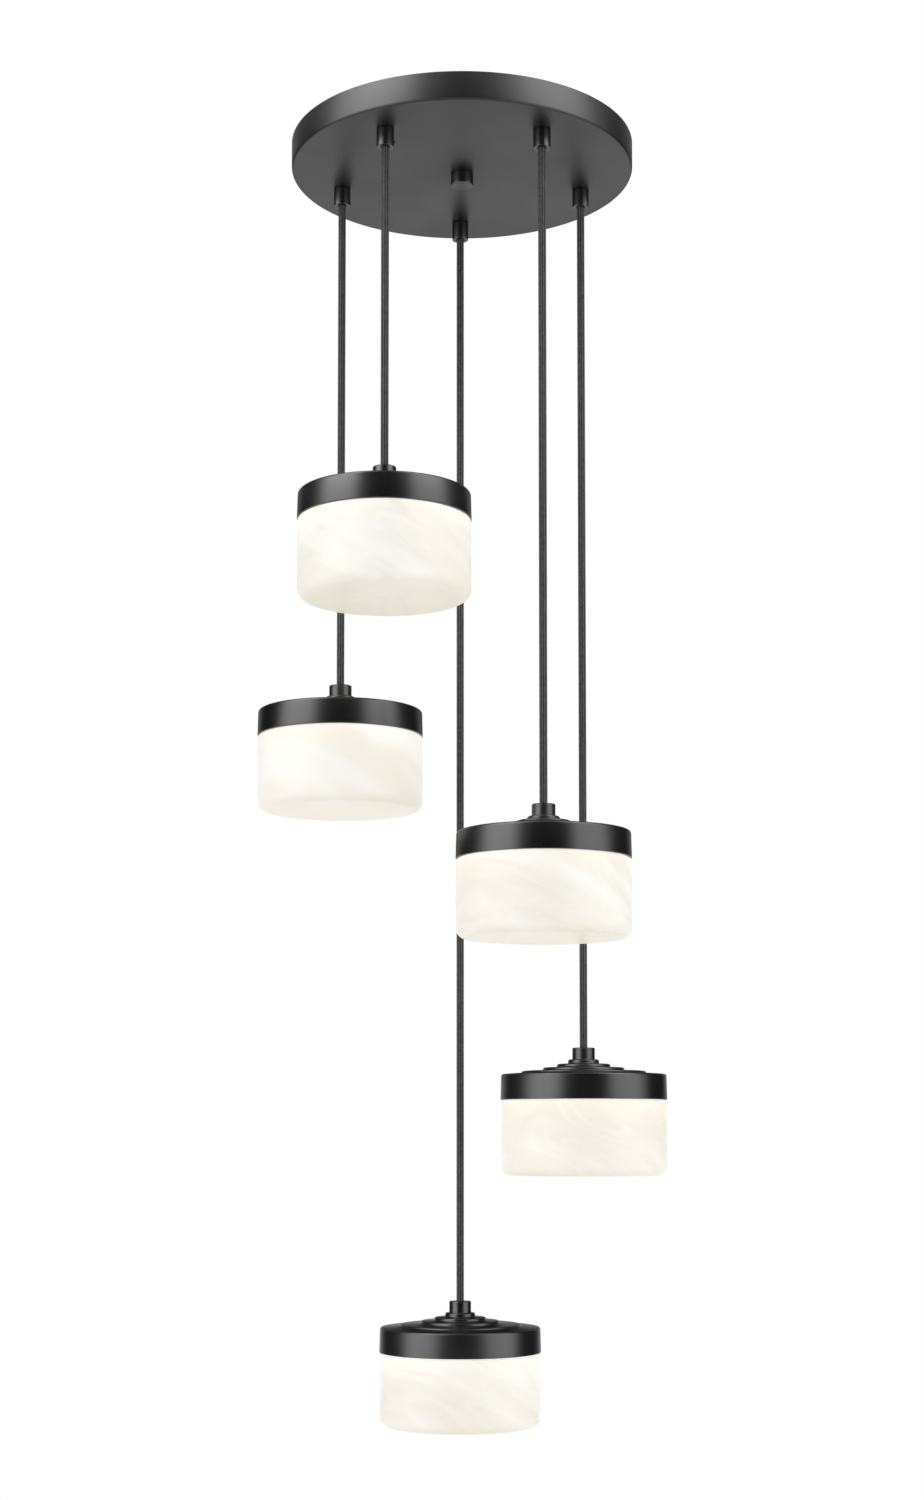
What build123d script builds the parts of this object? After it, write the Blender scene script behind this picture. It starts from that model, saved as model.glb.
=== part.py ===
from build123d import *
import os
from math import cos, pi, radians, sin

# A five-light pendant chandelier. Sizes are millimetres, the ceiling is the plane z = 0,
# and everything hangs below it round the vertical axis through the canopy's centre.

# Canopy pan
canopy_radius = 152.4
canopy_depth = 24.0
canopy_wall = 1.5
canopy_edge = 1.5

# Where the pendants hang, and the cord between each grip's mouth and its collar
first_pendant_angle = 162.0
cord_circle_radius = 114.3
cord_radius = 3.4
cord_lengths = (442.0, 279.0, 567.0, 767.0, 996.0)

# Cord grips, which stand under the pan on necks that pass through it
grip_radius = 7.5
grip_height = 16.0
grip_bore_clearance = 0.55
neck_radius = 5.0
neck_reach = 7.0
neck_clearance = 0.2
grip_nut_across_flats = 14.0
grip_nut_thickness = 3.0

# Crossbar under the ceiling box, with the stud and cap nut that hold the pan up
bar_width = 19.0
bar_thickness = 2.0
slot_spacing = 88.9
slot_length = 14.0
slot_width = 4.6
slot_to_bar_end = 4.55
stud_radius = 3.0
stud_clearance = 0.3
cap_nut_radius = 10.0
cap_nut_height = 11.0
cap_nut_floor = 2.0
cap_nut_play = 0.5

# Driver and wiring inside the pan
driver_length = 110.0
driver_width = 34.0
driver_height = 16.0
driver_setback = 28.0
core_width = 4.4
core_thickness = 2.2
core_recess = 0.5
core_reach = 3.0
terminal_side = 12.0
terminal_height = 8.0
lead_bite = 2.0

# Stepped cover of each lamp head, from its ring up to its collar
head_radius = 74.0
ring_height = 22.6
ring_wall = 3.6
plate_thickness = 4.0
step_radii = (55.3, 36.2, 23.7, 13.8)
step_heights = (2.8, 3.1, 3.2, 4.1)
collar_radius = 10.0
collar_height = 10.4

# Glass drum under the ring
glass_gap = 1.0
glass_height = 66.0
glass_wall = 4.0
glass_floor = 5.0
glass_corner_radius = 6.5
glass_corner_flats = 2
cavity_sides = 12

# What is inside each head
board_clearance = 6.0
board_thickness = 1.6
clip_count = 3
clip_width = 12.0
clip_thickness = 1.0
clip_tab = 14.0
clip_reach = 14.0

# Allowance by which a cutting shape runs past the face that it cuts
overrun = 1.0

# Heights that several pieces share
pan_underside = -canopy_depth
pan_floor = pan_underside + canopy_wall
grip_mouth = pan_underside - grip_height
neck_top = pan_floor + neck_reach
core_top = neck_top + core_reach
grip_bore_radius = cord_radius + grip_bore_clearance
pocket_ceiling = ring_height - plate_thickness
cover_height = ring_height + sum(step_heights) + collar_height
pendant_angles = [first_pendant_angle + 360 * i / len(cord_lengths) for i in range(len(cord_lengths))]
FROM_BELOW = (Align.CENTER, Align.CENTER, Align.MIN)
FROM_ABOVE = (Align.CENTER, Align.CENTER, Align.MAX)


def turned(outline):
    """A solid turned about the vertical axis from the (radius, height) points of its half section."""
    section = make_face(Polyline(*[(radius, 0, height) for radius, height in outline], close=True))
    return revolve(section, Axis.Z)


def rod(start, end, radius):
    """A round rod between two points."""
    along = Vector(*end) - Vector(*start)
    return Plane(origin=start, z_dir=along) * Cylinder(radius, along.length, align=FROM_BELOW)


def hex_nut(across_flats, thickness, bore_radius):
    """A plain hexagonal nut standing on z = 0."""
    blank = extrude(RegularPolygon(across_flats / 2, 6, major_radius=False), thickness)
    return blank - Cylinder(bore_radius, thickness, align=FROM_BELOW)


def hung_at(angle, height=0):
    """The place of one pendant: its corner of the cord circle at a given height."""
    return Pos(cord_circle_radius * cos(radians(angle)), cord_circle_radius * sin(radians(angle)), height)


def round_each_pendant(piece):
    """Copies of a piece at every pendant, as one group of separate solids."""
    return Compound([hung_at(angle) * piece for angle in pendant_angles])


def canopy_pan():
    """The spun pan that lies against the ceiling, drilled for the necks and the stud."""
    inner_radius = canopy_radius - canopy_wall
    pan = turned([
        (canopy_radius, 0),
        (canopy_radius, pan_underside + canopy_edge),
        (canopy_radius - canopy_edge, pan_underside),
        (0, pan_underside),
        (0, pan_floor),
        (inner_radius, pan_floor),
        (inner_radius, 0),
    ])
    drill_length = canopy_wall + 2 * overrun
    neck_drill = Cylinder(neck_radius + neck_clearance, drill_length, align=FROM_BELOW)
    stud_drill = Cylinder(stud_radius + stud_clearance, drill_length, align=FROM_BELOW)
    for angle in pendant_angles:
        pan -= hung_at(angle, pan_underside - overrun) * neck_drill
    return pan - Pos(0, 0, pan_underside - overrun) * stud_drill


def cord_grips():
    """Round grips that clamp the cords, each with a bored neck up through the pan."""
    grip = turned([
        (grip_bore_radius, grip_mouth),
        (grip_radius, grip_mouth),
        (grip_radius, pan_underside),
        (neck_radius, pan_underside),
        (neck_radius, neck_top),
        (grip_bore_radius, neck_top),
    ])
    return round_each_pendant(grip)


def grip_nuts():
    """Lock nuts on the necks, tightened down on the pan's floor."""
    return round_each_pendant(Pos(0, 0, pan_floor) * hex_nut(grip_nut_across_flats, grip_nut_thickness, neck_radius))


def crossbar():
    """The slotted steel bar that is screwed to the ceiling box, tapped for the stud."""
    bar_length = slot_spacing + slot_length + 2 * slot_to_bar_end
    bar = Box(bar_length, bar_width, bar_thickness, align=FROM_ABOVE)
    slot = extrude(SlotOverall(slot_length, slot_width), -bar_thickness)
    for side in (-1, 1):
        bar -= Pos(side * slot_spacing / 2, 0, 0) * slot
    return bar - Cylinder(stud_radius, bar_thickness, align=FROM_ABOVE)


def canopy_stud():
    """The threaded stud from the crossbar down into the cap nut."""
    bore_end = pan_underside - cap_nut_height + cap_nut_floor
    return rod((0, 0, bore_end + cap_nut_play), (0, 0, 0), stud_radius)


def cap_nut():
    """The round nut in the middle of the pan's underside, bored blind for the stud."""
    blank = Cylinder(cap_nut_radius, cap_nut_height, align=FROM_ABOVE)
    bore = Cylinder(stud_radius, cap_nut_height - cap_nut_floor, align=FROM_ABOVE)
    return Pos(0, 0, pan_underside) * (blank - bore)


def led_driver():
    """The driver's closed case, lying on the pan's floor behind the crossbar."""
    case = Box(driver_length, driver_width, driver_height, align=(Align.CENTER, Align.MIN, Align.MIN))
    return Pos(0, driver_setback, pan_floor) * case


def cord_cores():
    """The two flat cores of each cord, stripped inside its grip and led up to its terminal."""
    core_length = core_top - grip_mouth - core_recess
    return round_each_pendant(Pos(0, 0, core_top) * Box(core_width, core_thickness, core_length, align=FROM_ABOVE))


def wire_terminals():
    """A terminal block on the end of each cord."""
    block = Box(terminal_side, terminal_side, terminal_height, align=FROM_BELOW)
    return round_each_pendant(Pos(0, 0, core_top) * block)


def driver_leads():
    """A flat lead from each terminal to the nearest side of the driver, its ends inside both."""
    height = core_top + terminal_height / 2
    reach_x = driver_length / 2
    inset_x = reach_x - core_width
    far_side = driver_setback + driver_width
    leads = []
    for angle in pendant_angles:
        block = hung_at(angle, height).position
        beside_driver = driver_setback < block.Y < far_side
        nearest_x = max(-reach_x, min(block.X, reach_x)) if beside_driver else max(-inset_x, min(block.X, inset_x))
        socket = Vector(nearest_x, max(driver_setback, min(block.Y, far_side)), height)
        along = (socket - block).normalized()
        start = block + along * (terminal_side / 2 - lead_bite)
        length = (socket - start).length + lead_bite
        lead = Box(length, core_width, core_thickness, align=(Align.MIN, Align.CENTER, Align.CENTER))
        leads.append(Plane(origin=start, x_dir=along, z_dir=(0, 0, 1)) * lead)
    return Compound(leads)


def cord(length):
    """A straight free stretch of cord, hanging from z = 0."""
    solid = Cylinder(cord_radius, length, align=FROM_ABOVE)
    print("cord", length, "volume / (section x length) =", solid.volume / (pi * cord_radius**2 * length))
    return solid


def cover():
    """A lamp head's cover: the ring, the round steps that climb from it, and the collar.

    Its ring stands on z = 0. The underside is a pocket whose flats carry the clips."""
    outline = [(0, 0), (head_radius, 0), (head_radius, ring_height)]
    height = ring_height
    for radius, rise in zip(step_radii, step_heights):
        outline.append((radius, height))
        height += rise
        outline.append((radius, height))
    outline += [(collar_radius, height), (collar_radius, cover_height), (0, cover_height)]
    pocket = extrude(polygon_on_flats(head_radius - ring_wall), pocket_ceiling)
    return turned(outline) - pocket


def polygon_on_flats(radius):
    """The inside outline of a head, with a flat square to each multiple of one side's angle."""
    return RegularPolygon(radius, cavity_sides, rotation=180 / cavity_sides)


def flat_face(wall):
    """How far the flats inside a head are from its axis, where its wall is thinnest at the corners."""
    return (head_radius - wall) * cos(pi / cavity_sides)


def glass():
    """A glass drum, open at the top and rounded at its lower edge. Its rim is at z = 0."""
    centre_radius = head_radius - glass_corner_radius
    centre_height = glass_corner_radius - glass_height
    outline = [(0, 0), (head_radius, 0)]
    for i in range(glass_corner_flats + 1):
        turn = pi / 2 * i / glass_corner_flats
        across = centre_radius + glass_corner_radius * cos(turn)
        outline.append((across, centre_height - glass_corner_radius * sin(turn)))
    outline.append((0, -glass_height))
    cavity = extrude(polygon_on_flats(head_radius - glass_wall), glass_floor - glass_height)
    return turned(outline) - cavity


def led_board():
    """The board of lamps, hanging from z = 0 between the clips' tabs."""
    flat_distance = flat_face(glass_wall) - clip_tab - board_clearance
    return extrude(polygon_on_flats(flat_distance / cos(pi / cavity_sides)), -board_thickness)


def glass_clips():
    """Bent spring strips from the cover's pocket down to the inside of the glass."""
    wall_face = flat_face(glass_wall)
    leg_foot = -glass_gap - clip_reach
    outline = [
        (wall_face, 0, leg_foot),
        (wall_face, 0, pocket_ceiling),
        (wall_face - clip_tab, 0, pocket_ceiling),
        (wall_face - clip_tab, 0, pocket_ceiling - clip_thickness),
        (wall_face - clip_thickness, 0, pocket_ceiling - clip_thickness),
        (wall_face - clip_thickness, 0, leg_foot),
    ]
    strip = extrude(make_face(Polyline(*outline, close=True)), clip_width / 2, dir=(0, 1, 0), both=True)
    return Compound([Rot(0, 0, 90 + 360 * i / clip_count) * strip for i in range(clip_count)])


def pendant_pieces():
    """Every pendant's cord, cover, glass, board and clips in their places, by name."""
    drum = glass()
    lid = cover()
    board = led_board()
    clips = glass_clips()
    pieces = {}
    for number, (angle, length) in enumerate(zip(pendant_angles, cord_lengths), start=1):
        ring_foot = grip_mouth - length - cover_height
        pieces[f"cord_{number}"] = hung_at(angle, grip_mouth) * cord(length)
        pieces[f"cover_{number}"] = hung_at(angle, ring_foot) * lid
        pieces[f"glass_{number}"] = hung_at(angle, ring_foot - glass_gap) * drum
        pieces[f"led_board_{number}"] = hung_at(angle, ring_foot + pocket_ceiling) * board
        pieces[f"glass_clips_{number}"] = hung_at(angle, ring_foot) * clips
    return pieces


nodes = {
    "canopy_pan": canopy_pan(),
    "cord_grips": cord_grips(),
    "grip_nuts": grip_nuts(),
    "crossbar": crossbar(),
    "canopy_stud": canopy_stud(),
    "cap_nut": cap_nut(),
    "led_driver": led_driver(),
    "cord_cores": cord_cores(),
    "wire_terminals": wire_terminals(),
    "driver_leads": driver_leads(),
} | pendant_pieces()

os.makedirs("parts", exist_ok=True)
for name, solid in nodes.items():
    solid.label = name
    export_step(solid, f"parts/{name}.step")
print(len(nodes), "nodes written")
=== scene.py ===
from math import atan2, cos, pi, radians, sin, tau

import bmesh
import bpy
from bpy.props import FloatProperty, FloatVectorProperty, IntProperty, PointerProperty
from mathutils import Matrix, Vector


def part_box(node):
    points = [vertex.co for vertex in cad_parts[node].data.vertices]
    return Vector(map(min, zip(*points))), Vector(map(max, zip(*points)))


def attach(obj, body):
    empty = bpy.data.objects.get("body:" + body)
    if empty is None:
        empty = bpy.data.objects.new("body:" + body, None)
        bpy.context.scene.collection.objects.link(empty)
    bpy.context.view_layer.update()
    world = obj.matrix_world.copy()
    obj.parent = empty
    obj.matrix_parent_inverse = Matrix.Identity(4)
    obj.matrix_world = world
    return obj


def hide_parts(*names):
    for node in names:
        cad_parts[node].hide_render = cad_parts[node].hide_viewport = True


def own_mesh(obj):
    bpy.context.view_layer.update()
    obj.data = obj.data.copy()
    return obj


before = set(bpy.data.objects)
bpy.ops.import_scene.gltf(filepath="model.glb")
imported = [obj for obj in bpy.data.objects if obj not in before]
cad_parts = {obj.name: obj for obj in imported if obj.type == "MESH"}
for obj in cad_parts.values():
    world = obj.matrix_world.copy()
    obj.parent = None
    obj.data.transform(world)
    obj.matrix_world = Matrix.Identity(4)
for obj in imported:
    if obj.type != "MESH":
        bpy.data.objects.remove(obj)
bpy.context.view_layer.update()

bl_info = {
    "name": "Five-light drum chandelier",
    "version": (1, 0, 0),
    "blender": (4, 5, 0),
    "location": "View3D > Sidebar > Chandelier",
    "description": "Finishes the canopy, cords, covers and lit glass drums of a chandelier",
    "category": "Object",
}

MM = 0.001
PENDANTS = range(1, 6)
ROOT = "canopy"


# Sizes and colours that a user would change

class CanopySettings(bpy.types.PropertyGroup):
    edge_round: FloatProperty(
        name="Edge round",
        description="Radius of the pan's lower edge",
        default=2.2 * MM, unit="LENGTH", precision=5,
    )
    wall: FloatProperty(
        name="Wall",
        description="Thickness of the pan's sheet",
        default=1.5 * MM, unit="LENGTH", precision=5,
    )
    grip_bore: FloatProperty(
        name="Grip bore",
        description="Radius of the hole that a cord comes out of",
        default=3.95 * MM, unit="LENGTH", precision=5,
    )
    grip_chamfer: FloatProperty(
        name="Grip chamfer",
        description="Bevel at a grip's mouth",
        default=0.5 * MM, unit="LENGTH", precision=5,
    )
    thread_pitch: FloatProperty(
        name="Thread pitch",
        description="Distance from one thread of a neck to the next",
        default=1.1 * MM, unit="LENGTH", precision=5,
    )
    screw_radius: FloatProperty(
        name="Set screw radius",
        description="Radius of the screw in the side of a grip",
        default=1.3 * MM, unit="LENGTH", precision=5,
    )


class CordSettings(bpy.types.PropertyGroup):
    ribs: IntProperty(
        name="Ribs",
        description="Ribs round the woven sleeve",
        default=10, min=6, max=24,
    )
    groove_share: FloatProperty(
        name="Groove",
        description="Radius at the bottom of a groove, as a share of the cord's",
        default=0.9, min=0.8, max=1.0,
    )
    stitch: FloatProperty(
        name="Stitch",
        description="Length of one stitch of the weave",
        default=1.6 * MM, unit="LENGTH", precision=5,
    )
    thread_colour: FloatVectorProperty(
        name="Thread",
        description="Colour of the raised threads",
        default=(0.15, 0.15, 0.155), subtype="COLOR", size=3, min=0, max=1,
    )
    # The grooves between the ribs are painted this dark, as shade
    groove_shade_colour: FloatVectorProperty(
        name="Groove thread",
        description="Colour between the ribs",
        default=(0.006, 0.006, 0.0065), subtype="COLOR", size=3, min=0, max=1,
    )


class HeadSettings(bpy.types.PropertyGroup):
    ring_draft: FloatProperty(
        name="Ring draft",
        description="How much narrower the ring is at its top",
        default=0.6 * MM, unit="LENGTH", precision=5,
    )
    ring_round: FloatProperty(
        name="Ring shoulder",
        description="Radius of the ring's upper edge",
        default=1.9 * MM, unit="LENGTH", precision=5,
    )
    step_round: FloatProperty(
        name="Step edge",
        description="Radius of the upper edge of each step",
        default=1.5 * MM, unit="LENGTH", precision=5,
    )
    step_fillet: FloatProperty(
        name="Step fillet",
        description="Radius of the hollow at the foot of each step",
        default=0.7 * MM, unit="LENGTH", precision=5,
    )
    glass_round: FloatProperty(
        name="Glass corner",
        description="Radius of the lower corner of the glass",
        default=8.0 * MM, unit="LENGTH", precision=5,
    )
    glass_colour: FloatVectorProperty(
        name="Glass",
        description="Colour of the glass between its veins",
        default=(0.78, 0.766, 0.737), subtype="COLOR", size=3, min=0, max=1,
    )
    vein_colour: FloatVectorProperty(
        name="Vein",
        description="Colour of the darker veins",
        default=(0.60, 0.57, 0.535), subtype="COLOR", size=3, min=0, max=1,
    )
    # The glow painted on the glass as emission, in place of the lamp's light shining through it:
    # its colour under the ring, and its level
    lamp_colour: FloatVectorProperty(
        name="Lamp light",
        description="Colour of the light inside the glass",
        default=(1.0, 0.982, 0.935), subtype="COLOR", size=3, min=0, max=1,
    )
    lamp_strength: FloatProperty(
        name="Lamp level",
        description="How brightly the glass is lit from inside",
        default=0.7, min=0, max=5,
    )


class FinishSettings(bpy.types.PropertyGroup):
    black: FloatVectorProperty(
        name="Black coat",
        description="Colour of the pan and the covers",
        default=(0.006, 0.006, 0.0062), subtype="COLOR", size=3, min=0, max=1,
    )
    fitting_black: FloatVectorProperty(
        name="Black fittings",
        description="Colour of the grips and the cap nut",
        default=(0.005, 0.005, 0.0052), subtype="COLOR", size=3, min=0, max=1,
    )
    zinc: FloatVectorProperty(
        name="Zinc",
        description="Colour of the plated steel inside the canopy",
        default=(0.55, 0.55, 0.53), subtype="COLOR", size=3, min=0, max=1,
    )


class StageSettings(bpy.types.PropertyGroup):
    lens: FloatProperty(
        name="Lens",
        description="Focal length on a 36 mm long side",
        default=56.02, subtype="DISTANCE_CAMERA",
    )
    shift: FloatProperty(
        name="Rise",
        description="Rise of the lens, as a share of the long side",
        default=0.1492,
    )
    place: FloatVectorProperty(
        name="Camera",
        description="Where the camera stands",
        default=(-0.0301, -2.0397, -0.8862), subtype="XYZ", unit="LENGTH",
    )
    tilt: FloatProperty(
        name="Tilt",
        description="How far the camera looks up",
        default=radians(4), subtype="ANGLE",
    )
    turn: FloatProperty(
        name="Turn",
        description="How far the camera is turned to its right",
        default=radians(0.845), subtype="ANGLE",
    )
    floor_drop: FloatProperty(
        name="Floor",
        description="Height of the floor, measured from the ceiling plane",
        default=-4.2, unit="LENGTH",
    )
    ambient: FloatProperty(
        name="Room light",
        description="Level of the even light of the room",
        default=0.42, min=0,
    )
    side_power: FloatProperty(
        name="Side lamps",
        description="Power of the two tall soft lamps",
        default=11.0, min=0,
    )


# Sizes that go with the solids

# How finely each kind of piece is turned
PAN_TURNS = 192
HEAD_TURNS = 144
NUT_TURNS = 96
GRIP_TURNS = 64

BROKEN_EDGE = 0.2 * MM
EASED_EDGE = 0.4 * MM

GRIP_RADIUS = 7.5 * MM
GRIP_MOUTH_ROUND = 0.45 * MM
GRIP_SHOULDER_ROUND = 0.6 * MM
NECK_RADIUS = 5 * MM
NECK_END_TAPER = 0.3 * MM
# The neck stays plain up to here, where it goes through the pan
THREAD_START = 5 * MM
THREAD_DEPTH = 0.45 * MM

SCREW_LENGTH = 3 * MM
SCREW_BEVEL = 0.25 * MM
SCREW_ABOVE_MOUTH = 4 * MM
SOCKET_WALL = 0.55 * MM
SOCKET_DEPTH = 0.9 * MM
# The heading of each grip's set screw, in degrees, and how far it stands out
SCREW_PLACES = ((222, 0.25 * MM), (-8, 1.2 * MM), (80, 0.6 * MM), (60, 0.6 * MM), (100, 0.6 * MM))

NUT_BORE = 3 * MM
NUT_FLOOR = 2 * MM
NUT_FACE_ROUND = 0.7 * MM

# A cord's clamped end: below the top of its grip, and clear of the part of the cord that swings
END_BELOW_GRIP = 0.5 * MM
SWING_ROOM = 0.45 * MM
RIB_POINTS = 4

POCKET_RADIUS = 68.2 * MM
POCKET_ROUND = 1.5 * MM
RING_FOOT_ROUND = 0.5 * MM
RING_HEIGHT = 22.6 * MM
# From the ring up: each step's radius and rise, and how far the tread at its foot climbs
STEPS = (
    (55.3 * MM, 2.8 * MM, 1.2 * MM),
    (36.2 * MM, 3.1 * MM, 0.5 * MM),
    (23.7 * MM, 3.2 * MM, 0.5 * MM),
    (13.8 * MM, 4.1 * MM, 0.5 * MM),
)
STEP_DRAFT = 0.1 * MM
COLLAR_RADIUS = 10 * MM
COLLAR_ROUND = 0.9 * MM
# The shallow well in a collar's top that the cord goes into
ENTRY_RADIUS = 3.7 * MM
ENTRY_DEPTH = 0.8 * MM
ENTRY_ROUND = 0.15 * MM

# How far the drum stands back from the ring
GLASS_INSET = 0.3 * MM
GLASS_INNER = 67.9 * MM
GLASS_FLOOR = 5 * MM
GLASS_SHOULDER_ROUND = 0.8 * MM
LIP_RADIUS = 71.6 * MM
LIP_GAP = 0.1 * MM
# How each glass's veins are turned about its axis, in degrees, and how strongly they show
VEINS = ((20, 0.45), (-12, 1.0), (35, 0.8), (-30, 0.8), (8, 0.8))

STUD_PITCH = 1.0 * MM
TERMINAL_HALF = 6 * MM
# Each lid's rounded edge, rim and sink
DRIVER_LID = (1.6 * MM, 5 * MM, 0.8 * MM)
TERMINAL_LID = (0.8 * MM, 2.2 * MM, 1.2 * MM)

INSULATION_BLACK = (0.035, 0.035, 0.037)
SPRING_GREY = (0.5, 0.5, 0.5)
DRIVER_WHITE = (0.72, 0.72, 0.7)
TERMINAL_GREY = (0.6, 0.6, 0.57)


def cord_axis(number):
    """The middle of one cord, seen from above, and the heights of its two ends."""
    low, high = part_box(f"cord_{number}")
    return (low.x + high.x) / 2, (low.y + high.y) / 2, low.z, high.z


def ring_foot(number):
    """The height of the lower edge of one head's cover."""
    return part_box(f"cover_{number}")[0].z


# Shared tools

def shared(name):
    """One group of settings."""
    return getattr(bpy.context.scene, "chandelier_" + name)


def turned(bm, outline, steps, closed=False, axis=(0.0, 0.0)):
    """Turns an outline of (radius, height, rounding) points about a vertical axis."""
    x, y = axis
    first = len(bm.verts)
    corners = [bm.verts.new((x + radius, y, height)) for radius, height, rounding in outline]
    for pair in zip(corners, corners[1:]):
        bm.edges.new(pair)
    if closed:
        bm.edges.new((corners[-1], corners[0]))
    for size in sorted({point[2] for point in outline} - {0}):
        chosen = [vert for vert, point in zip(corners, outline) if point[2] == size]
        bmesh.ops.bevel(
            bm, geom=chosen, offset=size, segments=5, profile=0.5, affect="VERTICES", material=-1,
        )
    bm.verts.ensure_lookup_table()
    section = bm.verts[first:]
    lines = [edge for edge in bm.edges if not edge.link_faces and edge.verts[0] in section]
    bmesh.ops.spin(
        bm, geom=section + lines, cent=(x, y, 0), axis=(0, 0, 1),
        angle=tau, steps=steps, use_merge=True,
    )


def finish_mesh(bm, name, smooth_below=radians(32)):
    """Turns a bmesh into a closed, outward facing piece, smooth but for its sharp edges."""
    bmesh.ops.remove_doubles(bm, verts=bm.verts, dist=0.01 * MM)
    bmesh.ops.dissolve_degenerate(bm, edges=bm.edges, dist=0.001 * MM)
    bmesh.ops.recalc_face_normals(bm, faces=bm.faces)
    mesh = bpy.data.meshes.new(name)
    bm.to_mesh(mesh)
    bm.free()
    mesh.shade_smooth()
    mesh.set_sharp_from_angle(angle=smooth_below)
    piece = bpy.data.objects.new(name, mesh)
    bpy.context.scene.collection.objects.link(piece)
    return piece


def grown_verts(items):
    """The vertices among what an extrusion made."""
    return [item for item in items if isinstance(item, bmesh.types.BMVert)]


def dress(piece, body, material, slot, *nodes):
    """Gives a piece its body, its finish and the solids that it stands for."""
    piece.data.materials.clear()
    piece.data.materials.append(material)
    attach(piece, body)
    if nodes:
        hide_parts(*nodes)
    return piece


def repaint(node, material):
    """Gives a solid of the frame a finish."""
    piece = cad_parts[node]
    piece.data.materials.clear()
    piece.data.materials.append(material)


def new_material(name):
    """An empty material with its main shader."""
    material = bpy.data.materials.new(name)
    material.use_nodes = True
    tree = material.node_tree
    return material, tree, tree.nodes["Principled BSDF"]


def put(tree, kind, inputs=None, **settings):
    """Adds a node, with its settings, and sets or links its inputs."""
    node = tree.nodes.new("ShaderNode" + kind)
    for name, value in settings.items():
        setattr(node, name, value)
    feed(tree, node, inputs or {})
    return node


def feed(tree, node, inputs):
    """Sets or links the inputs of a node."""
    for name, value in inputs.items():
        if isinstance(value, bpy.types.NodeSocket):
            tree.links.new(value, node.inputs[name])
        else:
            node.inputs[name].default_value = value


def calc(tree, operation, *values):
    """The result of one step of arithmetic."""
    return put(tree, "Math", dict(enumerate(values)), operation=operation).outputs[0]


def noise(tree, place, scale, detail, **more):
    """A soft noise between 0 and 1."""
    inputs = {"Vector": place, "Scale": scale, "Detail": detail, **more}
    return put(tree, "TexNoise", inputs).outputs["Fac"]


def object_place(tree):
    """The place of a point of the piece."""
    return put(tree, "TexCoord").outputs["Object"]


def moved(tree, place, **how):
    """A place that is moved, turned or stretched, to lay a pattern."""
    return put(tree, "Mapping", {"Vector": place, **how}).outputs[0]


def relief(tree, height, strength, depth):
    """A normal that shows a height as fine relief."""
    return put(tree, "Bump", {"Height": height, "Strength": strength, "Distance": depth}).outputs[0]


def blend_colours(tree, share, first, second):
    """A colour between two colours, of which the first may be a node's."""
    if not isinstance(first, bpy.types.NodeSocket):
        first = (*first, 1)
    ends = {0: share, 6: first, 7: (*second, 1)}
    return put(tree, "Mix", ends, data_type="RGBA").outputs[2]


def spread(tree, value, low, high, to_low, to_high, **how):
    """Moves a value from one range to another and keeps it inside."""
    ranges = {"From Min": low, "From Max": high, "To Min": to_low, "To Max": to_high}
    return put(tree, "MapRange", {"Value": value, **ranges}, **how).outputs[0]


def soft_step(tree, value, low, high, to_low, to_high):
    """A value that turns smoothly from one level to another."""
    return spread(tree, value, low, high, to_low, to_high, interpolation_type="SMOOTHSTEP")


def scaled(colour, factor):
    """A lighter or darker shade of a colour."""
    return tuple(min(1.0, part * factor) for part in colour)


def tinted(colour, shares):
    """A colour with each of its parts taken down by its own share."""
    return tuple(part * share for part, share in zip(colour, shares))


# Finishes

# The colour of the painted glow that stands for the inner light: at the glass's foot, and on the
# way up to the lamp's own
GLOW_DROP = 68 * MM
GLOW_FOOT = (0.85, 0.815, 0.75)
GLOW_TONES = ((0.2, (0.865, 0.855, 0.83)), (0.55, (0.87, 0.87, 0.855)))

# How far the strongest veins change the colour of the glass
PALE_VEINS = 0.42
DARK_VEINS = 0.36

WHITE = (1, 1, 1, 1)


def coated_metal(name, colour, rough, level=0.6):
    """Black powder coat with a fine grain and faint clouds, which are a little duller."""
    material, tree, shader = new_material(name)
    place = object_place(tree)
    grain = noise(tree, place, 900.0, 3.0, Roughness=0.6)
    clouds = noise(tree, place, 14.0, 4.0)
    tone = spread(tree, calc(tree, "ADD", grain, clouds), 0.7, 1.3, 0, 1)
    feed(tree, shader, {
        "Base Color": blend_colours(tree, tone, scaled(colour, 0.8), scaled(colour, 1.25)),
        "Roughness": spread(tree, clouds, 0.35, 0.65, rough - 0.03, rough + 0.04),
        "Normal": relief(tree, grain, 0.12, 0.1 * MM),
        "Specular IOR Level": level,
    })
    return material


def plated_steel(name, colour, pitch=0.0):
    """Plated steel with a drawn grain, or with screw threads where a pitch is given."""
    material, tree, shader = new_material(name)
    place = object_place(tree)
    drawn = noise(tree, moved(tree, place, Scale=(40.0, 900.0, 900.0)), 1.0, 3.0)
    spangle = put(tree, "TexVoronoi", {"Vector": place, "Scale": 420.0}).outputs["Color"]
    height, depth = drawn, 0.05 * MM
    if pitch:
        bands = {"Vector": place, "Scale": pi / (10 * pitch)}
        height = put(tree, "TexWave", bands, bands_direction="Z").outputs["Fac"]
        depth = 0.4 * MM
    feed(tree, shader, {
        "Base Color": blend_colours(tree, spangle, scaled(colour, 0.88), scaled(colour, 1.1)),
        "Metallic": 1.0,
        "Roughness": spread(tree, drawn, 0.3, 0.7, 0.3, 0.48),
        "Normal": relief(tree, height, 0.5, depth),
    })
    return material


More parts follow.
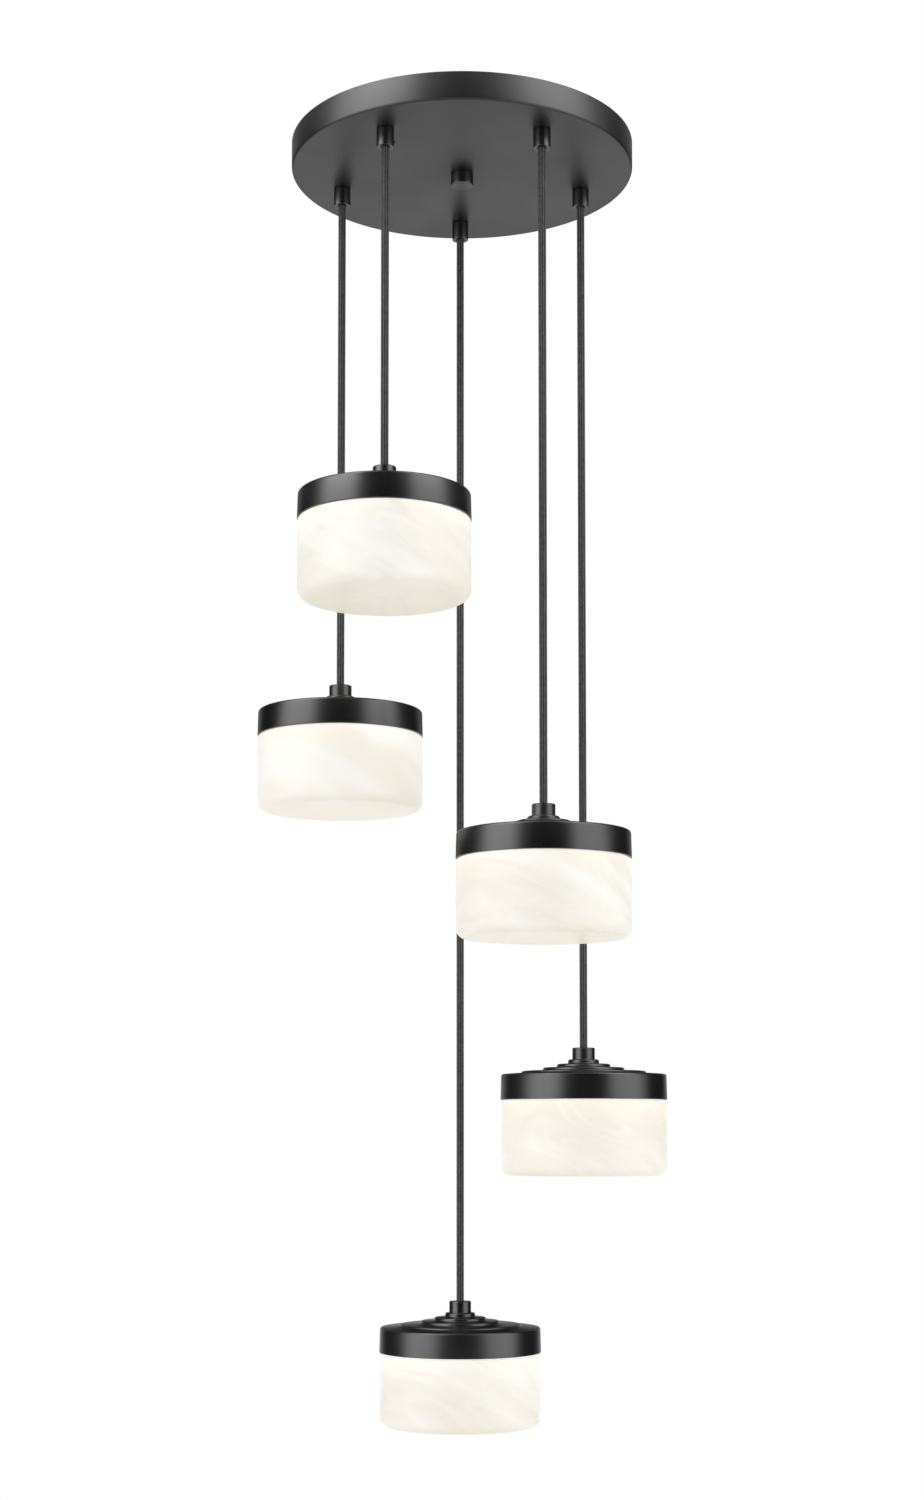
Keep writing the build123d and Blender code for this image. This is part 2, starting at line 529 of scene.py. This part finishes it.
def moulded_plastic(name, colour, rough):
    """Spark textured plastic with slight yellowing."""
    material, tree, shader = new_material(name)
    place = object_place(tree)
    texture = noise(tree, place, 1400.0, 2.0)
    age = spread(tree, noise(tree, place, 22.0, 3.0), 0.4, 0.65, 0, 1)
    feed(tree, shader, {
        "Base Color": blend_colours(tree, age, colour, tinted(colour, (0.96, 0.94, 0.87))),
        "Roughness": spread(tree, texture, 0.3, 0.7, rough, rough + 0.12),
        "Normal": relief(tree, texture, 0.35, 0.1 * MM),
    })
    return material


def lamp_board_finish(name):
    """White solder mask with rows of small yellow lamps, all alight."""
    material, tree, shader = new_material(name)
    place = object_place(tree)
    lamps = put(tree, "TexBrick", {
        "Vector": place,
        "Scale": 1.0,
        "Color1": (0.9, 0.72, 0.2, 1),
        "Color2": (0.86, 0.66, 0.16, 1),
        "Mortar": (0.85, 0.85, 0.83, 1),
        "Mortar Size": 2.6 * MM,
        "Brick Width": 9.0 * MM,
        "Row Height": 9.0 * MM,
    }, offset=0.0).outputs["Color"]
    # Painted light: the emission takes the whole pattern, so the white mask between the lamps glows
    # too, though it is no lamp
    feed(tree, shader, {
        "Base Color": lamps,
        "Roughness": spread(tree, noise(tree, place, 260.0, 2.0), 0.3, 0.7, 0.35, 0.55),
        "Emission Color": lamps,
        "Emission Strength": 1.0,
    })
    return material


def woven_sleeve(name):
    """Ribbed woven sleeve: staggered stitches along each rib, with painted shade in the grooves
    between the ribs and in the seams between the stitches.
    """
    settings = shared("cord")
    material, tree, shader = new_material(name)
    weave = put(tree, "UVMap", uv_map="weave").outputs[0]
    axes = put(tree, "SeparateXYZ", {0: weave}).outputs
    along = put(tree, "CombineXYZ", {"X": axes["Y"], "Y": axes["X"]}).outputs[0]
    # Stitches with darker seams between them: the seams are painted shade
    stitches = put(tree, "TexBrick", {
        "Vector": along,
        "Scale": 1.0,
        "Color1": (1, 1, 1, 1),
        "Color2": (0.7, 0.7, 0.7, 1),
        "Mortar": (0.25, 0.25, 0.25, 1),
        "Mortar Size": 0.1,
        "Mortar Smooth": 0.8,
        "Brick Width": 1.0,
        "Row Height": 1.0,
    }).outputs["Color"]
    wear = spread(tree, noise(tree, weave, 0.35, 4.0), 0.3, 0.7, 0.85, 1.15)
    # Painted shade: each rib darkens towards the groove on either side of it
    rib = soft_step(tree, calc(tree, "PINGPONG", axes["X"], 0.5), 0.1, 0.36, 0, 1)
    shade = calc(tree, "MULTIPLY", calc(tree, "MULTIPLY", stitches, wear), rib)
    feed(tree, shader, {
        "Base Color": blend_colours(tree, shade, settings.groove_shade_colour, settings.thread_colour),
        "Roughness": spread(tree, shade, 0, 1, 0.85, 0.6),
        "Sheen Weight": 0.15,
        "Sheen Roughness": 0.5,
        "Specular IOR Level": 0.35,
        "Normal": relief(tree, stitches, 0.8, 0.25 * MM),
    })
    return material


def contour(tree, place, scale, lines):
    """How far a point is from the contour lines of a smooth field: 0 on one, half between two."""
    field = noise(tree, place, scale, 1.0, Roughness=0.3)
    return calc(tree, "PINGPONG", calc(tree, "MULTIPLY", field, lines), 0.5)


def alabaster_glass(name, top_middle, turn, strength):
    """White glass with cream clouds and thin leaning veins, with the light from inside painted on
    as a glow, brightest under the ring.
    """
    settings = shared("head")
    white = settings.glass_colour
    material, tree, shader = new_material(name)
    local = moved(tree, object_place(tree), Location=tuple(-part for part in top_middle))
    leaning = moved(tree, local, Rotation=(radians(14), radians(-27), turn))
    swung = moved(tree, leaning, Location=(turn, turn, turn), Scale=(0.5, 0.5, 2.2))

    # The field that the veins follow, pushed about so that they wind
    winding = {"Vector": swung, "Scale": 9.0, "Detail": 1.5, "Roughness": 0.4}
    drift = put(tree, "TexNoise", winding).outputs["Color"]
    push = put(tree, "VectorMath", {0: drift, "Scale": 0.04}, operation="SCALE").outputs[0]
    flow = put(tree, "VectorMath", {0: swung, 1: push}, operation="ADD").outputs[0]
    crossing = moved(tree, flow, Location=(0.3, 0.1, 0.2), Rotation=(0.1, 0.1, 0.2))

    # Dark and pale veins, each fading where the other shows
    wander = noise(tree, local, 13.0, 1.0)
    dark_line = spread(tree, contour(tree, flow, 11.0, 9.0), 0.0, 0.16, 1, 0)
    pale_line = spread(tree, contour(tree, crossing, 13.0, 15.0), 0.0, 0.2, 1, 0)
    dark = calc(tree, "MULTIPLY", dark_line, spread(tree, wander, 0.4, 0.58, 0.2, 1))
    pale = calc(tree, "MULTIPLY", pale_line, spread(tree, wander, 0.42, 0.6, 1, 0.15))

    # Cream, with whiter patches and then the veins laid over it
    patches = noise(tree, flow, 16.0, 3.0)
    body = tinted(white, (0.985, 0.955, 0.9))
    for share, colour in (
        (spread(tree, patches, 0.38, 0.62, 0, 1), scaled(white, 1.04)),
        (spread(tree, pale, 0, 1, 0, PALE_VEINS * strength), scaled(white, 1.12)),
        (spread(tree, dark, 0, 1, 0, DARK_VEINS * strength), settings.vein_colour),
    ):
        body = blend_colours(tree, share, body, colour)

    # Painted light: the glass glows as bright as the lamp under the ring, and darker and warmer
    # towards its foot
    height = put(tree, "SeparateXYZ", {0: local}).outputs["Z"]
    glow = put(tree, "ValToRGB", {"Fac": spread(tree, height, -GLOW_DROP, 0, 0, 1)})
    ramp = glow.color_ramp
    ramp.interpolation = "EASE"
    ramp.elements[0].color = (*GLOW_FOOT, 1)
    ramp.elements[1].color = (*settings.lamp_colour, 1)
    for share, colour in GLOW_TONES:
        ramp.elements.new(share).color = (*colour, 1)
    both = {0: 1.0, 6: glow.outputs["Color"], 7: body}
    light = put(tree, "Mix", both, data_type="RGBA", blend_type="MULTIPLY").outputs[2]
    feed(tree, shader, {
        "Base Color": body,
        "Roughness": spread(tree, patches, 0.3, 0.7, 0.34, 0.46),
        "Specular IOR Level": 0.12,
        "Emission Color": light,
        "Emission Strength": settings.lamp_strength,
        "Normal": relief(tree, patches, 0.12, 0.5 * MM),
    })
    return material


# Pieces

class CHANDELIER_OT_cords(bpy.types.Operator):
    """Hangs the five straight woven cords, and their clamped ends inside the grips"""
    bl_idname = "chandelier.cords"
    bl_label = "Woven cords"

    def execute(self, context):
        material = woven_sleeve("woven_cord_sleeve")
        low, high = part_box("cord_1")
        radius = (high.x - low.x) / 2
        end_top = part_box("cord_grips")[1].z - END_BELOW_GRIP
        for number in PENDANTS:
            x, y, low, high = cord_axis(number)
            route = straight_route((x, y, high), (x, y, low))
            piece = ribbed_tube(f"cord_{number}_sleeve", route, radius)
            dress(piece, f"pendant_cord_{number}", material, "woven_cord", f"cord_{number}")
            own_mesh(piece)
            clamped = [(x, y, end_top), (x, y, high + SWING_ROOM)]
            end = ribbed_tube(f"cord_{number}_end", clamped, radius)
            dress(end, ROOT, material, "woven_cord")
        return {"FINISHED"}


def straight_route(start, end):
    """The points of a taut cord's line, read from its smooth curve."""
    curve = bpy.data.curves.new("cord_route", "CURVE")
    curve.dimensions = "3D"
    line = curve.splines.new("NURBS")
    line.points.add(2)
    middle = (Vector(start) + Vector(end)) / 2
    for point, place in zip(line.points, (start, middle, end)):
        point.co = (*place, 1)
    line.order_u = 3
    line.use_endpoint_u = True
    holder = bpy.data.objects.new("cord_route", curve)
    mesh = bpy.data.meshes.new_from_object(holder)
    points = [tuple(vert.co) for vert in mesh.vertices]
    bpy.data.meshes.remove(mesh)
    bpy.data.objects.remove(holder)
    bpy.data.curves.remove(curve)
    return points


def ribbed_tube(name, route, radius):
    """A round tube down a vertical route, with grooved ribs and a weave map of whole stitches."""
    settings = shared("cord")
    bm = bmesh.new()
    across = RIB_POINTS * settings.ribs
    circle = bmesh.ops.create_circle(bm, cap_ends=True, segments=across, radius=radius)
    grooves = circle["verts"][RIB_POINTS // 2::RIB_POINTS]
    share = settings.groove_share
    bmesh.ops.scale(bm, vec=(share, share, 1), verts=grooves)
    axis = Vector(route[0])
    bmesh.ops.translate(bm, vec=axis, verts=bm.verts)
    caps = list(bm.faces)
    for start, stop in zip(route, route[1:]):
        grown = bmesh.ops.extrude_face_region(bm, geom=caps[-1:])["geom"]
        caps += [item for item in grown if isinstance(item, bmesh.types.BMFace)]
        bmesh.ops.translate(bm, vec=Vector(stop) - Vector(start), verts=grown_verts(grown))
    bmesh.ops.delete(bm, geom=caps[1:-1], context="FACES_ONLY")
    layer = bm.loops.layers.uv.new("weave")
    for face in bm.faces:
        middle = face.calc_center_median() - axis
        heading = atan2(middle.y, middle.x)
        for loop in face.loops:
            out = loop.vert.co - axis
            around = atan2(out.y, out.x)
            around += tau * round((heading - around) / tau)
            loop[layer].uv = (around / tau * settings.ribs + 0.5, loop.vert.co.z / settings.stitch)
    return finish_mesh(bm, name, radians(60))


class CHANDELIER_OT_canopy(bpy.types.Operator):
    """Makes the pan with its rolled lower edge"""
    bl_idname = "chandelier.canopy"
    bl_label = "Canopy pan"

    def execute(self, context):
        settings = shared("canopy")
        low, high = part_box("canopy_pan")
        radius = (high.x - low.x) / 2
        inner = radius - settings.wall
        floor = low.z + settings.wall
        bm = bmesh.new()
        turned(bm, [
            (0, low.z, 0),
            (radius, low.z, settings.edge_round),
            (radius, high.z, EASED_EDGE),
            (inner, high.z, EASED_EDGE),
            (inner, floor, settings.edge_round / 2),
            (0, floor, 0),
        ], PAN_TURNS)
        material = coated_metal("black_pan_coat", shared("finish").black, rough=0.4, level=0.62)
        dress(finish_mesh(bm, "canopy_pan_sheet"), ROOT, material, "black_steel", "canopy_pan")
        return {"FINISHED"}


class CHANDELIER_OT_fittings(bpy.types.Operator):
    """Makes the cord grips with their threaded necks and set screws, and the cap nut"""
    bl_idname = "chandelier.fittings"
    bl_label = "Grips and cap nut"

    def execute(self, context):
        black = shared("finish").fitting_black
        material = coated_metal("black_fitting_coat", black, rough=0.34, level=0.78)
        bm = bmesh.new()
        for number in PENDANTS:
            turn_grip(bm, number)
        piece = finish_mesh(bm, "cord_grip_bodies")
        dress(piece, ROOT, material, "black_fittings", "cord_grips")

        bm = bmesh.new()
        for number, (heading, stand_out) in zip(PENDANTS, SCREW_PLACES):
            place_screw(bm, number, radians(heading), stand_out)
        dress(finish_mesh(bm, "grip_set_screws"), ROOT, material, "black_fittings")

        low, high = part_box("cap_nut")
        radius = (high.x - low.x) / 2
        floor = low.z + NUT_FLOOR
        bm = bmesh.new()
        turned(bm, [
            (0, low.z, 0),
            (radius, low.z, NUT_FACE_ROUND),
            (radius, high.z, EASED_EDGE),
            (NUT_BORE, high.z, BROKEN_EDGE),
            (NUT_BORE, floor, 0),
            (0, floor, 0),
        ], NUT_TURNS)
        dress(finish_mesh(bm, "cap_nut_body"), ROOT, material, "black_fittings", "cap_nut")
        return {"FINISHED"}


def turn_grip(bm, number):
    """One cord grip under the pan, with its threaded neck above it."""
    settings = shared("canopy")
    x, y, _, mouth = cord_axis(number)
    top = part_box("cord_grips")[1].z
    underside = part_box("canopy_pan")[0].z
    bore = settings.grip_bore
    pitch = settings.thread_pitch
    outline = [
        (bore, mouth, settings.grip_chamfer),
        (GRIP_RADIUS, mouth, GRIP_MOUTH_ROUND),
        (GRIP_RADIUS, underside, GRIP_SHOULDER_ROUND),
        (NECK_RADIUS, underside, 0),
    ]
    height = underside + THREAD_START
    while height + pitch < top:
        outline.append((NECK_RADIUS, height, 0))
        outline.append((NECK_RADIUS - THREAD_DEPTH, height + pitch / 2, 0))
        height += pitch
    outline.append((NECK_RADIUS - NECK_END_TAPER, top, BROKEN_EDGE))
    outline.append((bore, top, BROKEN_EDGE))
    turned(bm, outline, GRIP_TURNS, closed=True, axis=(x, y))


def place_screw(bm, number, heading, stand_out):
    """One set screw with a round socket, in the side of its grip."""
    radius = shared("canopy").screw_radius
    x, y, _, mouth = cord_axis(number)
    screw = bmesh.new()
    bmesh.ops.create_cone(
        screw, cap_ends=True, segments=24, radius1=radius, radius2=radius, depth=SCREW_LENGTH,
    )
    rims = [edge for edge in screw.edges if edge.calc_face_angle(0) > 1]
    bmesh.ops.bevel(
        screw, geom=rims, offset=SCREW_BEVEL, segments=2, profile=0.5, affect="EDGES", material=-1,
    )
    outer = max(screw.faces, key=lambda face: face.calc_center_median().z)
    bmesh.ops.inset_region(screw, faces=[outer], thickness=SOCKET_WALL)
    bmesh.ops.translate(screw, vec=(0, 0, -SOCKET_DEPTH), verts=outer.verts)
    reach = GRIP_RADIUS + stand_out - SCREW_LENGTH / 2
    middle = (x + reach * cos(heading), y + reach * sin(heading), mouth + SCREW_ABOVE_MOUTH)
    outward = Matrix.Rotation(heading, 4, "Z") @ Matrix.Rotation(pi / 2, 4, "Y")
    bmesh.ops.transform(screw, matrix=Matrix.Translation(middle) @ outward, verts=screw.verts)
    spare = bpy.data.meshes.new("screw")
    screw.to_mesh(spare)
    screw.free()
    bm.from_mesh(spare)
    bpy.data.meshes.remove(spare)


class CHANDELIER_OT_covers(bpy.types.Operator):
    """Makes the five stepped covers with their rounded steps and collars"""
    bl_idname = "chandelier.covers"
    bl_label = "Stepped covers"

    def execute(self, context):
        settings = shared("head")
        material = coated_metal("black_cover_coat", shared("finish").black, rough=0.3)
        for number in PENDANTS:
            x, y, _, _ = cord_axis(number)
            low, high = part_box(f"cover_{number}")
            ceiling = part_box(f"led_board_{number}")[1].z
            ring_radius = high.x - x
            level = low.z + RING_HEIGHT
            outline = [
                (0, ceiling, 0),
                (POCKET_RADIUS, ceiling, POCKET_ROUND),
                (POCKET_RADIUS, low.z, EASED_EDGE),
                (ring_radius, low.z, RING_FOOT_ROUND),
                (ring_radius - settings.ring_draft, level, settings.ring_round),
            ]
            for radius, rise, climb in STEPS:
                outline.append((radius, level + climb, settings.step_fillet))
                level += rise
                outline.append((radius - STEP_DRAFT, level, settings.step_round))
            well = high.z - ENTRY_DEPTH
            outline += [
                (COLLAR_RADIUS, level, EASED_EDGE),
                (COLLAR_RADIUS, high.z, COLLAR_ROUND),
                (ENTRY_RADIUS, high.z, ENTRY_ROUND),
                (ENTRY_RADIUS, well, 0),
                (0, well, 0),
            ]
            bm = bmesh.new()
            turned(bm, outline, HEAD_TURNS, axis=(x, y))
            piece = finish_mesh(bm, f"cover_{number}_shell")
            dress(piece, f"lamp_head_{number}", material, "black_cover", f"cover_{number}")
        return {"FINISHED"}


class CHANDELIER_OT_glasses(bpy.types.Operator):
    """Makes the five glass drums, with a low lip under the ring and a rounded corner below"""
    bl_idname = "chandelier.glasses"
    bl_label = "Glass drums"

    def execute(self, context):
        corner = shared("head").glass_round
        for number, (turn, strength) in zip(PENDANTS, VEINS):
            x, y, _, _ = cord_axis(number)
            low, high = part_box(f"glass_{number}")
            radius = high.x - x - GLASS_INSET
            lip_top = ring_foot(number) - LIP_GAP
            floor = low.z + GLASS_FLOOR
            bm = bmesh.new()
            turned(bm, [
                (0, low.z, 0),
                (radius, low.z, corner),
                (radius, high.z, GLASS_SHOULDER_ROUND),
                (LIP_RADIUS, high.z, 0),
                (LIP_RADIUS, lip_top, BROKEN_EDGE),
                (GLASS_INNER, lip_top, BROKEN_EDGE),
                (GLASS_INNER, floor, corner / 2),
                (0, floor, 0),
            ], HEAD_TURNS, axis=(x, y))
            top_middle = (x, y, high.z)
            name = f"alabaster_glass_{number}"
            material = alabaster_glass(name, top_middle, radians(turn), strength)
            piece = finish_mesh(bm, f"glass_{number}_drum")
            dress(piece, f"lamp_head_{number}", material, "alabaster_glass", f"glass_{number}")
        return {"FINISHED"}


class CHANDELIER_OT_inner_parts(bpy.types.Operator):
    """Finishes what is hidden in the canopy and the heads"""
    bl_idname = "chandelier.inner_parts"
    bl_label = "Inner parts"

    def execute(self, context):
        zinc_colour = shared("finish").zinc
        zinc = plated_steel("zinc_plate", zinc_colour)
        repaint("crossbar", zinc)
        repaint("grip_nuts", zinc)
        repaint("canopy_stud", plated_steel("zinc_thread", zinc_colour, STUD_PITCH))
        insulation = moulded_plastic("wire_insulation", INSULATION_BLACK, rough=0.4)
        repaint("cord_cores", insulation)
        repaint("driver_leads", insulation)
        board = lamp_board_finish("lamp_board_mask")
        spring = plated_steel("clip_spring_steel", SPRING_GREY)
        for number in PENDANTS:
            repaint(f"led_board_{number}", board)
            repaint(f"glass_clips_{number}", spring)

        bm = bmesh.new()
        moulded_box(bm, *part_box("led_driver"), *DRIVER_LID)
        plastic = moulded_plastic("driver_case_plastic", DRIVER_WHITE, rough=0.45)
        dress(finish_mesh(bm, "driver_case"), ROOT, plastic, "driver_case", "led_driver")

        bm = bmesh.new()
        low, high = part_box("wire_terminals")
        for number in PENDANTS:
            x, y, _, _ = cord_axis(number)
            near = Vector((x - TERMINAL_HALF, y - TERMINAL_HALF, low.z))
            far = Vector((x + TERMINAL_HALF, y + TERMINAL_HALF, high.z))
            moulded_box(bm, near, far, *TERMINAL_LID)
        plastic = moulded_plastic("terminal_plastic_finish", TERMINAL_GREY, rough=0.4)
        piece = finish_mesh(bm, "terminal_blocks")
        dress(piece, ROOT, plastic, "terminal_plastic", "wire_terminals")
        return {"FINISHED"}


def moulded_box(bm, low, high, rounding, rim, sink):
    """A box with rounded edges and a sunk lid."""
    made = bmesh.ops.create_cube(bm, size=1)["verts"]
    bmesh.ops.scale(bm, vec=high - low, verts=made)
    bmesh.ops.translate(bm, vec=(low + high) / 2, verts=made)
    faces = {face for vert in made for face in vert.link_faces}
    lid = max(faces, key=lambda face: face.calc_center_median().z)
    bmesh.ops.inset_region(bm, faces=[lid], thickness=rim)
    well = bmesh.ops.extrude_face_region(bm, geom=[lid])["geom"]
    bmesh.ops.delete(bm, geom=[lid], context="FACES_ONLY")
    bmesh.ops.translate(bm, vec=(0, 0, -sink), verts=grown_verts(well))
    outer = [
        edge for edge in bm.edges
        if all(vert in made for vert in edge.verts) and edge.calc_length() > rim
    ]
    bmesh.ops.bevel(
        bm, geom=outer, offset=rounding, segments=3, profile=0.5, affect="EDGES", material=-1,
    )


# Stage

SENSOR_LONG_SIDE = 36
LAMP_SPREAD = 2.05
LAMP_FRONT = -0.85
LAMP_HEIGHT = -0.55
LAMP_SIZE = (1.8, 2.6)
LAMP_TARGET = (0, 0, -0.6)
FLOOR_RADIUS = 9

TENT_RADIUS = 3.4
TENT_HEIGHT = 4.9
TENT_LIFT = 0.2
# The light parts of the tent: the headings, in degrees from the front to either side,
# between which each one rises to its full level and fades again, and its levels
PANEL_RISE, PANEL_FADE = (26, 44), (74, 98)
STRIP_RISE, STRIP_FADE = (136, 146), (158, 170)
STRIP_LEVEL = 0.3
BACK_RISE = (146, 168)
# From low to high on the tent: two heights, and the levels below and above them
PANEL_HEIGHTS, PANEL_LEVELS = (0.6, 1.3), (3.3, 5.6)
BACK_HEIGHTS, BACK_LEVELS = (-0.8, -0.4), (0.9, 0)
FRONT_HEIGHTS, FRONT_LEVELS = (0.5, 1.2), (0.012, 0.06)
# From left to right across the front: two headings, and the share of the panels' light
ACROSS, ACROSS_SHARES = (-20, 20), (1.15, 0.88)


class CHANDELIER_OT_stage(bpy.types.Operator):
    """Sets the camera, the soft lamps, the pale floor and the white background"""
    bl_idname = "chandelier.stage"
    bl_label = "Stage"

    def execute(self, context):
        settings = shared("stage")
        scene = context.scene
        scene.view_settings.view_transform = "Standard"
        camera = bpy.data.objects.new("camera", bpy.data.cameras.new("camera"))
        camera.data.lens = settings.lens
        camera.data.sensor_width = SENSOR_LONG_SIDE
        camera.data.shift_y = settings.shift
        camera.location = settings.place
        camera.rotation_euler = (pi / 2 + settings.tilt, 0, -settings.turn)
        scene.collection.objects.link(camera)
        scene.camera = camera
        soft_lamp("left_lamp", (-LAMP_SPREAD, LAMP_FRONT, LAMP_HEIGHT), settings.side_power)
        soft_lamp("right_lamp", (LAMP_SPREAD, LAMP_FRONT, LAMP_HEIGHT), settings.side_power)
        lay_floor(settings.floor_drop)
        pitch_tent()
        light_room(scene, settings.ambient)
        return {"FINISHED"}


def soft_lamp(name, place, power):
    """An oval soft lamp turned to the middle of the chandelier, and not seen in its gloss."""
    data = bpy.data.lights.new(name, "AREA")
    data.shape = "ELLIPSE"
    data.size, data.size_y = LAMP_SIZE
    data.energy = power
    lamp = bpy.data.objects.new(name, data)
    lamp.location = place
    aim = Vector(LAMP_TARGET) - Vector(place)
    lamp.rotation_euler = aim.to_track_quat("-Z", "Y").to_euler()
    lamp.visible_glossy = False
    bpy.context.scene.collection.objects.link(lamp)


def white_where_seen(tree, plain, kind, output):
    """Shows white to the camera, in gloss and through glass, and a plain shader otherwise."""
    path = put(tree, "LightPath").outputs
    seen = path["Is Camera Ray"]
    for ray in ("Is Glossy Ray", "Is Transmission Ray"):
        seen = calc(tree, "MAXIMUM", seen, path[ray])
    white = put(tree, kind, {"Color": WHITE, "Strength": 1.0})
    mix = put(tree, "MixShader", {"Fac": seen, 1: plain.outputs[0], 2: white.outputs[0]})
    tree.links.new(mix.outputs[0], output.inputs["Surface"])


def lay_floor(height):
    """A pale floor far below the lamps."""
    bm = bmesh.new()
    bmesh.ops.create_circle(bm, cap_ends=True, segments=64, radius=FLOOR_RADIUS)
    bmesh.ops.translate(bm, vec=(0, 0, height), verts=bm.verts)
    piece = finish_mesh(bm, "floor")
    material, tree, shader = new_material("pale_floor")
    mottle = noise(tree, object_place(tree), 3.0, 4.0)
    feed(tree, shader, {
        "Base Color": blend_colours(tree, mottle, (0.80, 0.80, 0.80), (0.84, 0.84, 0.84)),
        "Roughness": 0.8,
    })
    white_where_seen(tree, shader, "Emission", tree.nodes["Material Output"])
    piece.data.materials.append(material)


def across(tree, heading, degrees, levels):
    """A level that turns smoothly into another between two headings."""
    return soft_step(tree, heading, *(radians(angle) for angle in degrees), *levels)


def pitch_tent():
    """The dark tent round the set, with its lit panels and low open back, which only gloss sees."""
    bm = bmesh.new()
    bmesh.ops.create_cone(
        bm, cap_ends=True, segments=96, radius1=TENT_RADIUS, radius2=TENT_RADIUS, depth=TENT_HEIGHT,
    )
    bottom = min(bm.faces, key=lambda face: face.calc_center_median().z)
    bmesh.ops.delete(bm, geom=[bottom], context="FACES")
    bmesh.ops.translate(bm, vec=(0, 0, TENT_LIFT), verts=bm.verts)
    piece = finish_mesh(bm, "studio_tent")
    material, tree, shader = new_material("tent_cloth")
    tree.nodes.remove(shader)
    place = put(tree, "SeparateXYZ", {0: object_place(tree)}).outputs
    height = place["Z"]
    heading = calc(tree, "ARCTAN2", place["X"], calc(tree, "MULTIPLY", place["Y"], -1.0))
    aside = calc(tree, "ABSOLUTE", heading)
    panels = (
        across(tree, aside, PANEL_RISE, (0, 1)),
        across(tree, aside, PANEL_FADE, (1, 0)),
        soft_step(tree, height, *PANEL_HEIGHTS, *PANEL_LEVELS),
        across(tree, heading, ACROSS, ACROSS_SHARES),
    )
    low_back = (
        across(tree, aside, BACK_RISE, (0, 1)),
        soft_step(tree, height, *BACK_HEIGHTS, *BACK_LEVELS),
    )
    strips = (
        across(tree, aside, STRIP_RISE, (0, STRIP_LEVEL)),
        across(tree, aside, STRIP_FADE, (1, 0)),
    )
    front = (soft_step(tree, height, *FRONT_HEIGHTS, *FRONT_LEVELS),)
    total = 0.0
    for first, *factors in (panels, low_back, strips, front):
        light = first
        for factor in factors:
            light = calc(tree, "MULTIPLY", light, factor)
        total = calc(tree, "ADD", total, light)
    glow = put(tree, "Emission", {"Color": WHITE, "Strength": total})
    tree.links.new(glow.outputs[0], tree.nodes["Material Output"].inputs["Surface"])
    piece.data.materials.append(material)
    piece.visible_camera = False
    piece.visible_diffuse = False
    piece.visible_shadow = False
    piece.visible_transmission = False


def light_room(scene, level):
    """An even light, with a plain white background."""
    world = bpy.data.worlds.new("white_room")
    scene.world = world
    world.use_nodes = True
    tree = world.node_tree
    tree.nodes.clear()
    even = put(tree, "Background", {"Color": WHITE, "Strength": level})
    white_where_seen(tree, even, "Background", put(tree, "OutputWorld"))


class CHANDELIER_PT_panel(bpy.types.Panel):
    """The steps that finish the chandelier, with their settings"""
    bl_idname = "CHANDELIER_PT_panel"
    bl_label = "Chandelier"
    bl_space_type = "VIEW_3D"
    bl_region_type = "UI"
    bl_category = "Chandelier"

    def draw(self, context):
        for operator in OPERATORS:
            self.layout.operator(operator.bl_idname)
        for name, group in SETTINGS.items():
            box = self.layout.box()
            box.label(text=name.capitalize())
            for key in group.__annotations__:
                box.prop(shared(name), key)


SETTINGS = {
    "canopy": CanopySettings,
    "cord": CordSettings,
    "head": HeadSettings,
    "finish": FinishSettings,
    "stage": StageSettings,
}
OPERATORS = (
    CHANDELIER_OT_stage,
    CHANDELIER_OT_cords,
    CHANDELIER_OT_canopy,
    CHANDELIER_OT_fittings,
    CHANDELIER_OT_covers,
    CHANDELIER_OT_glasses,
    CHANDELIER_OT_inner_parts,
)


def register():
    for name, group in SETTINGS.items():
        bpy.utils.register_class(group)
        setattr(bpy.types.Scene, "chandelier_" + name, PointerProperty(type=group))
    for operator in OPERATORS:
        bpy.utils.register_class(operator)
    bpy.utils.register_class(CHANDELIER_PT_panel)


def unregister():
    bpy.utils.unregister_class(CHANDELIER_PT_panel)
    for operator in reversed(OPERATORS):
        bpy.utils.unregister_class(operator)
    for name, group in SETTINGS.items():
        delattr(bpy.types.Scene, "chandelier_" + name)
        bpy.utils.unregister_class(group)


def main():
    register()
    for operator in OPERATORS:
        group, name = operator.bl_idname.split(".")
        getattr(getattr(bpy.ops, group), name)()


if __name__ == "__main__":
    main()
